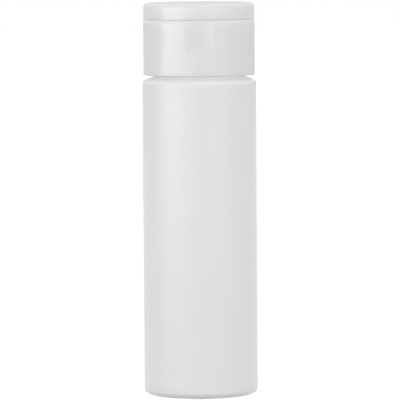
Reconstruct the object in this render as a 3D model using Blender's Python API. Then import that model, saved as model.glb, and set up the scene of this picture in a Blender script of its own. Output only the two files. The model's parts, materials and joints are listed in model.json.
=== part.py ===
"""A plastic travel bottle with a flip-top screw cap.

A milky blow-moulded bottle stands on a foot ring. Its neck carries a seal ring and a moulded cap:
a round shell with a thumb scoop at the front, a deck with a spout, and a lid on a living hinge.
Lengths are in metres, +Z is up, the scoop faces -Y and the origin is the centre of the foot ring.
"""

import math

import bmesh
import bpy
from mathutils import Matrix, Vector

# Fineness of the round pieces
TURN_STEPS = 56
CORNER_STEPS = 4
WAIST_STEPS = 8
MERGE_DISTANCE = 1e-7

# Clearances
SEAT_GAP = 0.0003
PARTING_GAP = 0.0003
CUT_OVERRUN = 0.0020
FILLET_LIMIT_SHARE = 0.45

# Bottle body
BODY_RADIUS = 0.0190
SHOULDER_HEIGHT = 0.10535
SHOULDER_WIDTH = 0.0082
SHOULDER_RISE = 0.0030
SHOULDER_CORNER = 0.0014
BODY_WALL = 0.0010
BASE_WALL = 0.0014
BASE_CORNER_WIDTH = 0.0032
BASE_CORNER_HEIGHT = 0.0021
FOOT_RING_WIDTH = 0.0022
PUSH_UP_HEIGHT = 0.0018
PUSH_UP_EDGE = 0.0012

# Bottle neck
NECK_WALL = 0.0020
NECK_HEIGHT = 0.01405
NECK_ROOT_FILLET = 0.0009
LIP_FILLET = 0.0004

# Seal ring
SEAL_THICKNESS = 0.0008

# Cap shell and deck
CAP_STEP = 0.00035
CAP_WALL = 0.0013
CAP_LIFT = 0.00175
CAP_FOOT_FILLET = 0.0003
DECK_THICKNESS = 0.0014
RIM_STEP = 0.0004
RIM_EDGE_DEPTH = 0.00035
RIM_EDGE_HEIGHT = 0.0012
SHELL_ROOT_FILLET = 0.0006

# Threaded skirt and plug seal under the deck
THREAD_DEPTH = 0.0012
SKIRT_WALL = 0.0012
SKIRT_LIFT = 0.0015
PLUG_WALL = 0.0010
PLUG_DEPTH = 0.0045
PLUG_TIP_FILLET = 0.0004

# Seat ring and spout on the deck
SEAT_RING_WALL = 0.0010
SEAT_RING_HEIGHT = 0.0017
SEAT_RING_FILLET = 0.0003
SPOUT_HEIGHT = 0.0040
SPOUT_RADIUS = 0.0034
SPOUT_TAPER = 0.0006
SPOUT_WALL = 0.0010
SPOUT_ROOT_FILLET = 0.0006
SPOUT_TIP_FILLET = 0.0004
ORIFICE_RADIUS = 0.0015
ORIFICE_LENGTH = 0.0009

# Lid
LID_STEP = 0.00015
LID_HEIGHT = 0.0053
LID_WALL = 0.0012
LID_PLATE = 0.0014
LID_TOP_FILLET = 0.0014
LID_EDGE_DEPTH = 0.00025
LID_EDGE_HEIGHT = 0.0008
LID_ROOT_FILLET = 0.0005
COLLAR_WALL = 0.0008
COLLAR_LAP = 0.0008
PIN_LAP = 0.0007
PIN_TIP_FILLET = 0.0004

# Thumb scoop
SCOOP_WIDTH = 0.00935
SCOOP_BOTTOM_LIFT = 0.0061
SCOOP_END_HEIGHT = 0.0047
SCOOP_RING_MARGIN = 0.0001

# Hinge at the back
HINGE_FLAT_DEPTH = 0.00125
HINGE_FLAT_DROP = 0.0056
HINGE_WALL_WIDTH = 0.0120
HINGE_RING_GAP = 0.0136
LEAF_THICKNESS = 0.00035
LEAF_FILM = 0.0002
LEAF_WIDTH = 0.0023
LEAF_HEIGHT = 0.0038
LEAF_GROOVE_HEIGHT = 0.0020
STRAP_WIDTH = 0.0030
STRAP_SIDE_GAP = 0.0004
STRAP_THICKNESS = 0.0006
STRAP_END_THICKNESS = 0.00035
STRAP_DROP = 0.0044
STRAP_RISE = 0.0032
STRAP_BOW = 0.0005
STRAP_SLOT_DEPTH = 0.0017
SLOT_WALL = 0.0010

# Heights that the pieces share
NECK_ROOT_Z = SHOULDER_HEIGHT + SHOULDER_RISE
LIP_Z = NECK_ROOT_Z + NECK_HEIGHT
SEAL_Z = LIP_Z + SEAT_GAP
DECK_UNDER_Z = SEAL_Z + SEAL_THICKNESS + SEAT_GAP
DECK_Z = DECK_UNDER_Z + DECK_THICKNESS
RIM_Z = DECK_Z + RIM_STEP
CAP_FOOT_Z = SHOULDER_HEIGHT + CAP_LIFT
SKIRT_FOOT_Z = CAP_FOOT_Z + SKIRT_LIFT
SPOUT_Z = DECK_Z + SPOUT_HEIGHT
LID_FOOT_Z = RIM_Z + PARTING_GAP
LID_Z = LID_FOOT_Z + LID_HEIGHT
LID_UNDER_Z = LID_Z - LID_PLATE
HINGE_Z = RIM_Z + PARTING_GAP / 2

# Radii that the pieces share
NECK_RADIUS = BODY_RADIUS - SHOULDER_WIDTH
CAP_RADIUS = BODY_RADIUS - CAP_STEP
LID_RADIUS = CAP_RADIUS - LID_STEP
NECK_BORE = NECK_RADIUS - NECK_WALL
PLUG_RADIUS = NECK_BORE - SEAT_GAP
SKIRT_BORE = NECK_RADIUS + THREAD_DEPTH + SEAT_GAP
SKIRT_RADIUS = SKIRT_BORE + SKIRT_WALL
SHELL_BORE = CAP_RADIUS - CAP_WALL
LID_BORE = LID_RADIUS - LID_WALL
SEAT_RING_RADIUS = LID_BORE - SEAT_GAP
SEAT_RING_BORE = SEAT_RING_RADIUS - SEAT_RING_WALL

# Planes of the hinge, measured along Y
HINGE_FLAT_Y = CAP_RADIUS - HINGE_FLAT_DEPTH
LEAF_Y = HINGE_FLAT_Y + SEAT_GAP
HINGE_Y = LEAF_Y + LEAF_FILM / 2
SLOT_Y = HINGE_FLAT_Y - STRAP_SLOT_DEPTH
STRAP_Y = SLOT_Y + SEAT_GAP
SLOT_WIDTH = STRAP_WIDTH + 2 * STRAP_SIDE_GAP


def clear_scene():
    for old in list(bpy.data.objects):
        bpy.data.objects.remove(old, do_unlink=True)


def plastic(name, colour, roughness):
    """A Principled material for one moulded plastic."""
    material = bpy.data.materials.new(name)
    material.use_nodes = True
    shader = material.node_tree.nodes["Principled BSDF"]
    shader.inputs["Base Color"].default_value = (*colour, 1)
    shader.inputs["Roughness"].default_value = roughness
    shader.inputs["Metallic"].default_value = 0
    return material


def rounded(corners):
    """Points of an outline whose corners are (x, z), (x, z, reach) or (x, z, reach before, reach after).

    A corner with a reach becomes an arc that leaves each side that far from the corner.
    """
    points = []
    for index, (x, z, *reaches) in enumerate(corners):
        corner = Vector((x, z))
        if not reaches:
            points.append(corner)
            continue
        before = Vector(corners[index - 1][:2]) - corner
        after = Vector(corners[(index + 1) % len(corners)][:2]) - corner
        reach_before = min(reaches[0], before.length * FILLET_LIMIT_SHARE)
        reach_after = min(reaches[-1], after.length * FILLET_LIMIT_SHARE)
        start = corner + before.normalized() * reach_before
        end = corner + after.normalized() * reach_after
        centre = start + end - corner
        for step in range(CORNER_STEPS + 1):
            angle = math.pi / 2 * step / CORNER_STEPS
            points.append(centre + (start - centre) * math.cos(angle) + (end - centre) * math.sin(angle))
    return points


def solid(name, mesh, material=None):
    """An object made from a bmesh, with its faces pointing out."""
    bmesh.ops.remove_doubles(mesh, verts=mesh.verts, dist=MERGE_DISTANCE)
    bmesh.ops.recalc_face_normals(mesh, faces=mesh.faces)
    data = bpy.data.meshes.new(name)
    mesh.to_mesh(data)
    mesh.free()
    data.shade_smooth()
    data.set_sharp_from_angle(angle=math.radians(35))
    built = bpy.data.objects.new(name, data)
    bpy.context.scene.collection.objects.link(built)
    if material is None:
        built.hide_render = True
        built.display_type = "WIRE"
    else:
        data.materials.append(material)
    return built


def turned(name, outline, material=None, centre=(0, 0)):
    """A solid turned about an upright axis. An outline that starts and ends on the axis stays open there."""
    mesh = bmesh.new()
    ring = [mesh.verts.new((x, 0, z)) for x, z in outline]
    edges = [mesh.edges.new(pair) for pair in zip(ring, ring[1:])]
    if outline[0][0] > 0:
        edges.append(mesh.edges.new((ring[-1], ring[0])))
    bmesh.ops.spin(mesh, geom=ring + edges, cent=(0, 0, 0), axis=(0, 0, 1), angle=2 * math.pi,
                   steps=TURN_STEPS, use_merge=True)
    bmesh.ops.translate(mesh, verts=mesh.verts, vec=(*centre, 0))
    return solid(name, mesh, material)


def block(name, low, high, material=None):
    """A box between its lowest and highest corners."""
    mesh = bmesh.new()
    bmesh.ops.create_cube(mesh, size=1)
    middle = (Vector(low) + Vector(high)) / 2
    size = Vector(high) - Vector(low)
    bmesh.ops.transform(mesh, verts=mesh.verts, matrix=Matrix.Translation(middle) @ Matrix.Diagonal((*size, 1)))
    return solid(name, mesh, material)


def band(name, outline, low_x, high_x, material):
    """A solid with an outline of (y, z) points, drawn out along X."""
    mesh = bmesh.new()
    face = mesh.faces.new([mesh.verts.new((low_x, y, z)) for y, z in outline])
    drawn = bmesh.ops.extrude_face_region(mesh, geom=[face])["geom"]
    ends = [item for item in drawn if isinstance(item, bmesh.types.BMVert)]
    bmesh.ops.translate(mesh, verts=ends, vec=(high_x - low_x, 0, 0))
    return solid(name, mesh, material)


def combine(target, operation, tool):
    """Adds a Boolean modifier to the target."""
    modifier = target.modifiers.new(f"{operation.lower()} {tool.name}", "BOOLEAN")
    modifier.operation = operation
    modifier.solver = "EXACT"
    modifier.object = tool


def hang_on(axis, piece):
    """Parents a piece to the empty on its joint's axis without moving it."""
    piece.data.transform(Matrix.Translation(-axis.matrix_world.translation))
    piece.parent = axis


def joint_empty(name, place):
    axis = bpy.data.objects.new(name, None)
    axis.location = place
    bpy.context.scene.collection.objects.link(axis)
    bpy.context.view_layer.update()
    return axis


def make_bottle(material):
    """The blow-moulded bottle: domed base, straight wall, sloped shoulder and plain neck."""
    foot_outer = BODY_RADIUS - BASE_CORNER_WIDTH
    foot_inner = foot_outer - FOOT_RING_WIDTH
    slope = SHOULDER_RISE / SHOULDER_WIDTH
    inner_radius = BODY_RADIUS - BODY_WALL
    inner_shoulder_z = SHOULDER_HEIGHT - BODY_WALL
    inner_root_z = inner_shoulder_z + slope * (inner_radius - NECK_BORE)
    outer = [
        (0, PUSH_UP_HEIGHT),
        (foot_inner - PUSH_UP_EDGE, PUSH_UP_HEIGHT, FOOT_RING_WIDTH, PUSH_UP_EDGE),
        (foot_inner, 0),
        (foot_outer, 0),
        (BODY_RADIUS, 0, BASE_CORNER_WIDTH, BASE_CORNER_HEIGHT),
        (BODY_RADIUS, SHOULDER_HEIGHT, SHOULDER_CORNER),
        (NECK_RADIUS, NECK_ROOT_Z, NECK_ROOT_FILLET),
        (NECK_RADIUS, LIP_Z, LIP_FILLET),
    ]
    inner = [
        (NECK_BORE, LIP_Z, LIP_FILLET),
        (NECK_BORE, inner_root_z, NECK_ROOT_FILLET),
        (inner_radius, inner_shoulder_z, SHOULDER_CORNER),
        (inner_radius, BASE_WALL, BASE_CORNER_HEIGHT),
        (foot_inner, BASE_WALL),
        (foot_inner - PUSH_UP_EDGE, BASE_WALL + PUSH_UP_HEIGHT, PUSH_UP_EDGE, FOOT_RING_WIDTH),
        (0, BASE_WALL + PUSH_UP_HEIGHT),
    ]
    return turned("bottle", rounded(outer + inner), material)


def make_seal_ring(material):
    """The flat foam ring between the lip and the deck, round the plug."""
    inner = PLUG_RADIUS + SEAT_GAP
    outer = SKIRT_BORE - SEAT_GAP
    top = SEAL_Z + SEAL_THICKNESS
    return turned("seal_ring", [(inner, SEAL_Z), (outer, SEAL_Z), (outer, top), (inner, top)], material)


def make_cap_shell(material):
    """Everything on the cap base that is round: shell, rim, seat ring, deck, spout, plug and skirt."""
    spout_tip = SPOUT_RADIUS - SPOUT_TAPER
    throat_z = SPOUT_Z - ORIFICE_LENGTH
    outline = [
        (CAP_RADIUS, CAP_FOOT_Z, CAP_FOOT_FILLET),
        (CAP_RADIUS, RIM_Z, RIM_EDGE_HEIGHT, RIM_EDGE_DEPTH),
        (SEAT_RING_RADIUS, RIM_Z),
        (SEAT_RING_RADIUS, RIM_Z + SEAT_RING_HEIGHT, SEAT_RING_FILLET),
        (SEAT_RING_BORE, RIM_Z + SEAT_RING_HEIGHT, SEAT_RING_FILLET),
        (SEAT_RING_BORE, DECK_Z),
        (SPOUT_RADIUS, DECK_Z, SPOUT_ROOT_FILLET),
        (spout_tip, SPOUT_Z, SPOUT_TIP_FILLET),
        (ORIFICE_RADIUS, SPOUT_Z),
        (ORIFICE_RADIUS, throat_z),
        (spout_tip - SPOUT_WALL, throat_z),
        (SPOUT_RADIUS - SPOUT_WALL, DECK_UNDER_Z),
        (PLUG_RADIUS - PLUG_WALL, DECK_UNDER_Z),
        (PLUG_RADIUS - PLUG_WALL, DECK_UNDER_Z - PLUG_DEPTH),
        (PLUG_RADIUS, DECK_UNDER_Z - PLUG_DEPTH, PLUG_TIP_FILLET),
        (PLUG_RADIUS, DECK_UNDER_Z),
        (SKIRT_BORE, DECK_UNDER_Z),
        (SKIRT_BORE, SKIRT_FOOT_Z),
        (SKIRT_RADIUS, SKIRT_FOOT_Z),
        (SKIRT_RADIUS, DECK_UNDER_Z),
        (SHELL_BORE, DECK_UNDER_Z, SHELL_ROOT_FILLET),
        (SHELL_BORE, CAP_FOOT_Z),
    ]
    return turned("cap_base", rounded(outline), material)


def scoop_tool(name, growth):
    """An upright round tool with a domed lower end that leaves the scoop's outline on the cap's surface.

    The growth is how much thicker the tool is all round.
    """
    depth = CAP_RADIUS - SEAT_RING_RADIUS - SCOOP_RING_MARGIN
    half_width = SCOOP_WIDTH / 2
    crown = CAP_RADIUS - math.sqrt(CAP_RADIUS ** 2 - half_width ** 2)
    chord_depth = depth - crown
    radius = (half_width ** 2 + chord_depth ** 2) / (2 * chord_depth)
    reach = radius - depth
    dome = SCOOP_END_HEIGHT / math.sqrt(1 - (reach / radius) ** 2)
    dome_z = CAP_FOOT_Z + SCOOP_BOTTOM_LIFT + SCOOP_END_HEIGHT
    outline = [(0, RIM_Z + CUT_OVERRUN), (radius + growth, RIM_Z + CUT_OVERRUN)]
    for step in range(WAIST_STEPS + 1):
        angle = math.pi / 2 * step / WAIST_STEPS
        outline.append(((radius + growth) * math.cos(angle), dome_z - (dome + growth) * math.sin(angle)))
    return turned(name, outline, centre=(0, -(CAP_RADIUS + reach)))


def add_scoop(cap):
    """Thickens the shell behind the thumb scoop, then cuts the scoop."""
    backing = scoop_tool("scoop_backing", CAP_WALL)
    core_radius = CAP_RADIUS - CAP_WALL / 2
    core_top = DECK_UNDER_Z + DECK_THICKNESS / 2
    core = turned("cap_core", [(0, CAP_FOOT_Z), (core_radius, CAP_FOOT_Z), (core_radius, core_top), (0, core_top)])
    combine(backing, "INTERSECT", core)
    combine(cap, "UNION", backing)
    combine(cap, "DIFFERENCE", scoop_tool("scoop_cut", 0))


def add_hinge_seat(piece, foot, top, flat_foot, slot_foot, slot_top):
    """The flat wall and the strap's slot at the back of the cap base or the lid."""
    half_wall = HINGE_WALL_WIDTH / 2
    half_slot = SLOT_WIDTH / 2
    half_box = half_slot + SLOT_WALL
    beyond = CAP_RADIUS + CUT_OVERRUN
    flat = block(f"{piece.name}_flat_cut", (-beyond, HINGE_FLAT_Y, flat_foot), (beyond, beyond, top + CUT_OVERRUN))
    wall = block(f"{piece.name}_hinge_wall", (-half_wall, HINGE_FLAT_Y - CAP_WALL, foot),
                 (half_wall, HINGE_FLAT_Y, top))
    slot_box = block(f"{piece.name}_slot_box", (-half_box, SLOT_Y - SLOT_WALL, foot), (half_box, HINGE_FLAT_Y, top))
    slot = block(f"{piece.name}_slot_cut", (-half_slot, SLOT_Y, slot_foot), (half_slot, beyond, slot_top))
    combine(piece, "DIFFERENCE", flat)
    combine(piece, "UNION", wall)
    combine(piece, "UNION", slot_box)
    combine(piece, "DIFFERENCE", slot)


def make_cap_base(material):
    """The lower half of the cap: shell, deck and spout, thumb scoop and hinge seat."""
    cap = make_cap_shell(material)
    add_scoop(cap)
    half_gap = HINGE_RING_GAP / 2
    ring_cut = block("seat_ring_cut", (-half_gap, 0, RIM_Z), (half_gap, CAP_RADIUS + CUT_OVERRUN, SPOUT_Z))
    combine(cap, "DIFFERENCE", ring_cut)
    slot_foot = HINGE_Z - STRAP_DROP - SEAT_GAP
    add_hinge_seat(cap, slot_foot - SLOT_WALL, RIM_Z, HINGE_Z - HINGE_FLAT_DROP, slot_foot, RIM_Z + CUT_OVERRUN)
    return cap


def make_lid(material):
    """The lid: a shallow round cup with a collar and a pin that close the spout."""
    lap_z = SPOUT_Z - COLLAR_LAP
    spout_at_lap = SPOUT_RADIUS - SPOUT_TAPER * (lap_z - DECK_Z) / SPOUT_HEIGHT
    collar_bore = spout_at_lap + SEAT_GAP
    pin_radius = ORIFICE_RADIUS - SEAT_GAP
    pin_z = SPOUT_Z - PIN_LAP
    outline = [
        (0, LID_Z),
        (LID_RADIUS, LID_Z, LID_TOP_FILLET),
        (LID_RADIUS, LID_FOOT_Z, LID_EDGE_HEIGHT, LID_EDGE_DEPTH),
        (LID_BORE, LID_FOOT_Z),
        (LID_BORE, LID_UNDER_Z, LID_ROOT_FILLET),
        (collar_bore + COLLAR_WALL, LID_UNDER_Z),
        (collar_bore + COLLAR_WALL, lap_z),
        (collar_bore, lap_z),
        (collar_bore, LID_UNDER_Z),
        (pin_radius, LID_UNDER_Z),
        (pin_radius, pin_z, PIN_TIP_FILLET),
        (0, pin_z),
    ]
    lid = turned("lid", rounded(outline), material)
    slot_top = HINGE_Z + STRAP_RISE + SEAT_GAP
    add_hinge_seat(lid, LID_FOOT_Z, LID_Z - LID_TOP_FILLET, LID_FOOT_Z - CUT_OVERRUN,
                   LID_FOOT_Z - CUT_OVERRUN, slot_top)
    return lid


def make_leaf(name, side, material):
    """One of the hinge's two leaves, grooved from behind down to a film on the parting line."""
    half_height = LEAF_HEIGHT / 2
    half_groove = LEAF_GROOVE_HEIGHT / 2
    back = LEAF_Y + LEAF_THICKNESS
    film = LEAF_Y + LEAF_FILM
    outline = [
        (LEAF_Y, HINGE_Z + half_height),
        (LEAF_Y, HINGE_Z - half_height),
        (back, HINGE_Z - half_height),
        (back, HINGE_Z - half_groove),
        (film, HINGE_Z),
        (back, HINGE_Z + half_groove),
        (back, HINGE_Z + half_height),
    ]
    inner = SLOT_WIDTH / 2 + STRAP_SIDE_GAP
    low, high = sorted((side * inner, side * (inner + LEAF_WIDTH)))
    return band(name, outline, low, high, material)


def make_strap(material):
    """The snap strap: a bowed band between the leaves, thinner at its two ends."""
    low_z = HINGE_Z - STRAP_DROP
    high_z = HINGE_Z + STRAP_RISE
    front, back = [], []
    for step in range(WAIST_STEPS + 1):
        share = step / WAIST_STEPS
        swell = math.sin(math.pi * share)
        z = low_z + (high_z - low_z) * share
        inner_y = STRAP_Y + STRAP_BOW * swell
        thickness = STRAP_END_THICKNESS + (STRAP_THICKNESS - STRAP_END_THICKNESS) * swell
        front.append((inner_y, z))
        back.append((inner_y + thickness, z))
    half_width = STRAP_WIDTH / 2
    return band("snap_strap", front + back[::-1], -half_width, half_width, material)


def main():
    clear_scene()
    milky = plastic("milky polyethylene", (0.74, 0.75, 0.77), 0.38)
    clear_milky = plastic("milky polypropylene", (0.73, 0.75, 0.77), 0.28)
    foam = plastic("white foam", (0.85, 0.85, 0.84), 0.80)

    make_bottle(milky)
    cap_axis = joint_empty("cap_axis", (0, 0, LIP_Z))
    hinge_axis = joint_empty("hinge_axis", (0, HINGE_Y, HINGE_Z))
    hang_on(cap_axis, make_seal_ring(foam))
    hang_on(cap_axis, make_cap_base(clear_milky))
    hang_on(hinge_axis, make_lid(clear_milky))
    hang_on(hinge_axis, make_leaf("hinge_leaf_left", -1, clear_milky))
    hang_on(hinge_axis, make_leaf("hinge_leaf_right", 1, clear_milky))
    hang_on(hinge_axis, make_strap(clear_milky))


main()
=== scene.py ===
"""The travel bottle as it is photographed: smooth mouldings, screw threads, a living hinge, milky
plastics and a white studio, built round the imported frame.

Lengths are in metres, +Z is up, the thumb scoop faces -Y and the origin is the centre of the foot.
"""

import json
import math

import bmesh
import bpy
from mathutils import Euler, Matrix, Vector


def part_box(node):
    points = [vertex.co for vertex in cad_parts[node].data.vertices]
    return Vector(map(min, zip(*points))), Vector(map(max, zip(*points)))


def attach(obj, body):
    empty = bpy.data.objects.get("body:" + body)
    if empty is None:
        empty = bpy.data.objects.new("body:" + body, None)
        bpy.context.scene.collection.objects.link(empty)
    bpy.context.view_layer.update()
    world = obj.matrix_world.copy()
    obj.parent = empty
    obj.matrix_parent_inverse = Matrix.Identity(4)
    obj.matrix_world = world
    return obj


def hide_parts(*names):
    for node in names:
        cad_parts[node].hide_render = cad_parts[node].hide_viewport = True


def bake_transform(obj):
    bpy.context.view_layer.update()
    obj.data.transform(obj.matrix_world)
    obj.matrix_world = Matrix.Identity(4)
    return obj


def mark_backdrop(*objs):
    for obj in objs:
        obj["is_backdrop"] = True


bl_info = {
    "name": "Travel Bottle",
    "version": (1, 0, 0),
    "blender": (4, 5, 0),
    "location": "3D View > Sidebar > Travel Bottle",
    "description": "Models a milky travel bottle with a flip-top screw cap in a white studio",
    "category": "Add Mesh",
}

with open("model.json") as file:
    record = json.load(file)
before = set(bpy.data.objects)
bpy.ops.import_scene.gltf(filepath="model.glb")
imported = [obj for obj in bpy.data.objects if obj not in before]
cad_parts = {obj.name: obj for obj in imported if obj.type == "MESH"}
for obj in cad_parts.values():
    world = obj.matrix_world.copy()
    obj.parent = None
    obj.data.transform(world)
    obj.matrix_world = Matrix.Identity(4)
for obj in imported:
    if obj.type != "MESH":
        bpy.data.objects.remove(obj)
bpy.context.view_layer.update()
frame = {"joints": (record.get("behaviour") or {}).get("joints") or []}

MM = 0.001
FULL_TURN = 2 * math.pi

# Places read from the frame
BOTTLE_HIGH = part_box("bottle")[1]
SEAL_LOW, SEAL_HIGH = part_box("seal_ring")
CAP_LOW, CAP_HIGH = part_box("cap_base")
LID_LOW, LID_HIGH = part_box("lid")
LEAF_LOW, LEAF_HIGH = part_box("hinge_leaf_right")
STRAP_LOW, STRAP_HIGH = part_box("snap_strap")
JOINTS = {joint["name"]: joint for joint in frame["joints"]}
HINGE = Vector(JOINTS["lid_flip"]["pos_m"])
PITCH = JOINTS["cap_rise"]["range_m"][1] / (math.radians(JOINTS["cap_turn"]["range_deg"][1]) / FULL_TURN)

# How far the bottle's parting line stands out, which the frame's box includes
SEAM_HEIGHT = 0.04 * MM

# What the frame doesn't give of the foam seal
SEAL_BORE = 8.8 * MM
SEAL_ROUND_SHARE = 1 / 6

# Fineness of the meshes
ARC_LEAST_STEPS = 2
ARC_MOST_STEPS = 9
ARC_STEP_REACH = 0.24 * MM
ROUND_STEPS = 160
SCOOP_STEPS = 64
SCOOP_ROW = 0.19 * MM
SCOOP_BACK_ROW = 0.6 * MM
SCOOP_BORDER = 0.9 * MM
SEAM_STEPS = 4
THREAD_STEPS = 72
LEAF_ROWS = 48
STRAP_ROWS = 56
BEVEL_SEGMENTS = 3
EDGE_SEGMENTS = 2
MERGE_DISTANCE = 0.002 * MM
SMOOTH_ANGLE = math.radians(32)
BEVEL_ANGLE = math.radians(60)


def linear(hex_colour):
    """The linear RGBA of an sRGB hex colour."""
    values = [int(hex_colour[place:place + 2], 16) / 255 for place in (0, 2, 4)]
    return [v / 12.92 if v <= 0.04045 else ((v + 0.055) / 1.055) ** 2.4 for v in values] + [1.0]


def length(name, description, default):
    """A length in metres that a user can change."""
    return bpy.props.FloatProperty(name=name, description=description, default=default, precision=5,
                                   subtype="DISTANCE", unit="LENGTH")


def degrees(name, description, default):
    """An angle that a user can change."""
    return bpy.props.FloatProperty(name=name, description=description, default=math.radians(default),
                                   subtype="ANGLE", unit="ROTATION")


def number(name, description, default):
    """A plain number that a user can change."""
    return bpy.props.FloatProperty(name=name, description=description, default=default, precision=4)


def tint(name, description, hex_colour):
    """A colour that a user can change, given as sRGB hex."""
    return bpy.props.FloatVectorProperty(name=name, description=description, size=4, subtype="COLOR",
                                         default=linear(hex_colour), min=0.0, max=1.0)


class BottleSizes(bpy.types.PropertyGroup):
    """Sizes of the blow-moulded bottle."""

    radius: length("Radius", "Outside radius of the body", BOTTLE_HIGH.x - SEAM_HEIGHT)
    lip: length("Lip height", "Height of the neck's lip", BOTTLE_HIGH.z)
    wall: length("Wall", "Thickness of the body's wall", 1.0 * MM)
    base_wall: length("Base wall", "Thickness of the base", 1.4 * MM)
    shoulder: length("Shoulder height", "Height where the shoulder begins", 105.35 * MM)
    shoulder_rise: length("Shoulder rise", "How far the shoulder climbs to the neck", 2.6 * MM)
    shoulder_corner: length("Shoulder corner", "Rounding at the shoulder", 1.2 * MM)
    foot_width: length("Foot corner width", "Width of the rounding at the foot", 3.2 * MM)
    foot_height: length("Foot corner height", "Height of the rounding at the foot", 2.1 * MM)
    ring: length("Foot ring", "Width of the ring that the bottle stands on", 2.2 * MM)
    push_up: length("Push-up", "Height of the dome inside the foot ring", 1.8 * MM)
    push_up_edge: length("Push-up edge", "Width of the step up to the dome", 1.2 * MM)
    neck: length("Neck radius", "Outside radius of the neck", 10.8 * MM)
    neck_wall: length("Neck wall", "Thickness of the neck", 2.0 * MM)
    neck_root: length("Neck root", "Rounding at the foot of the neck", 0.9 * MM)
    lip_round: length("Lip rounding", "Rounding on the lip", 0.4 * MM)
    seam_width: length("Seam width", "Width of the mould's parting line", 0.30 * MM)
    seam_height: length("Seam height", "How far the parting line stands out", SEAM_HEIGHT)
    weld_length: length("Weld length", "Length of the weld across the base", 15.0 * MM)
    weld_width: length("Weld width", "Width of the weld", 0.55 * MM)
    weld_height: length("Weld height", "Height of the weld over the base", 0.35 * MM)
    weld_round: length("Weld rounding", "Bevel on the weld's edges", 0.1375 * MM)


class ThreadSizes(bpy.types.PropertyGroup):
    """Sizes of the screw thread on the neck and in the cap."""

    turns: number("Turns", "Turns of thread", 1.5)
    depth: length("Depth", "Height of a thread over its wall", 1.0 * MM)
    root: length("Root", "Width of a thread at its wall", 1.5 * MM)
    crest: length("Crest", "Width of a thread at its crest", 0.7 * MM)
    sink: length("Sink", "How far a thread is sunk in its wall", 0.15 * MM)
    start: length("Start", "How far below the lip the neck's thread ends", 2.4 * MM)
    slack: length("Slack", "Extra room between the two threads", 0.12 * MM)
    run_out: degrees("Run-out", "Angle over which a thread fades out", 40)


class CapSizes(bpy.types.PropertyGroup):
    """Sizes of the cap base."""

    radius: length("Radius", "Outside radius of the shell", CAP_HIGH.x)
    foot: length("Foot height", "Height of the shell's lower edge", CAP_LOW.z)
    spout: length("Spout height", "Height of the spout's tip", CAP_HIGH.z)
    wall: length("Wall", "Thickness of the shell", 1.3 * MM)
    foot_round: length("Foot rounding", "Rounding on the lower edge", 0.2 * MM)
    deck_under: length("Deck underside", "Height of the deck's underside", 123.8 * MM)
    deck: length("Deck", "Thickness of the deck", 1.4 * MM)
    rim_step: length("Rim step", "Height of the rim over the deck", 0.4 * MM)
    rim_depth: length("Rim rounding depth", "Depth of the rounding on the rim", 0.35 * MM)
    rim_height: length("Rim rounding height", "Height of the rounding on the rim", 1.7 * MM)
    seat: length("Seat ring radius", "Outside radius of the seat ring", 17.0 * MM)
    seat_wall: length("Seat ring wall", "Thickness of the seat ring", 1.0 * MM)
    seat_height: length("Seat ring height", "Height of the seat ring over the rim", 1.7 * MM)
    edge: length("Edge rounding", "Rounding on small edges", 0.3 * MM)
    spout_foot: length("Spout foot", "Outside radius at the foot of the spout", 3.4 * MM)
    spout_taper: length("Spout taper", "How much slimmer the spout is at its tip", 0.6 * MM)
    spout_wall: length("Spout wall", "Thickness of the spout", 1.0 * MM)
    spout_root: length("Spout root", "Rounding at the foot of the spout", 0.6 * MM)
    spout_tip: length("Spout tip", "Rounding on the tip of the spout", 0.4 * MM)
    orifice: length("Orifice", "Radius of the hole in the spout", 1.5 * MM)
    orifice_length: length("Orifice length", "Depth of the hole's narrow part", 0.9 * MM)
    orifice_round: length("Orifice rounding", "Rounding at the hole", 0.15 * MM)
    plug: length("Plug radius", "Outside radius of the plug", 8.5 * MM)
    plug_wall: length("Plug wall", "Thickness of the plug", 1.0 * MM)
    plug_depth: length("Plug depth", "Length of the plug", 4.5 * MM)
    skirt: length("Skirt bore", "Inside radius of the skirt", 12.3 * MM)
    skirt_wall: length("Skirt wall", "Thickness of the skirt", 1.2 * MM)
    skirt_lift: length("Skirt lift", "Height of the skirt over the shell's foot", 1.5 * MM)
    root: length("Root rounding", "Roundings under the deck", 0.6 * MM)


class ScoopSizes(bpy.types.PropertyGroup):
    """Sizes of the thumb scoop at the front of the cap base."""

    width: length("Width", "Width of the scoop", 9.4 * MM)
    depth: length("Depth", "How deep the scoop is along its middle", 1.1 * MM)
    bottom: length("Bottom lift", "Height of the scoop over the shell's foot", 6.1 * MM)
    end: length("End height", "Height of the scoop's round lower end", 4.7 * MM)
    softness: length("Softness", "Rounding between the scoop and the shell", 0.10 * MM)


class LidSizes(bpy.types.PropertyGroup):
    """Sizes of the lid with its collar and pin."""

    radius: length("Radius", "Outside radius of the lid", LID_HIGH.x)
    foot: length("Foot height", "Height of the lid's lower edge", LID_LOW.z - 0.26 * MM)
    top: length("Top height", "Height of the lid's flat top", LID_HIGH.z)
    wall: length("Wall", "Thickness of the lid's side", 1.2 * MM)
    plate: length("Plate", "Thickness of the lid's top", 1.4 * MM)
    top_round: length("Top rounding", "Rounding round the top", 1.4 * MM)
    edge_depth: length("Edge depth", "Depth of the rounding on the lower edge", 0.08 * MM)
    edge_height: length("Edge height", "Height of the rounding on the lower edge", 0.25 * MM)
    root: length("Root rounding", "Rounding under the top", 0.5 * MM)
    gap: length("Gap", "Clearance of the collar and the pin", 0.3 * MM)
    collar_wall: length("Collar wall", "Thickness of the collar", 0.8 * MM)
    collar_lap: length("Collar lap", "How far the collar reaches down the spout", 0.8 * MM)
    pin_lap: length("Pin lap", "How far the pin reaches into the spout", 0.7 * MM)
    pin_round: length("Pin rounding", "Rounding on the pin's tip", 0.4 * MM)
    small_round: length("Small rounding", "Rounding on the collar", 0.2 * MM)


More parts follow.
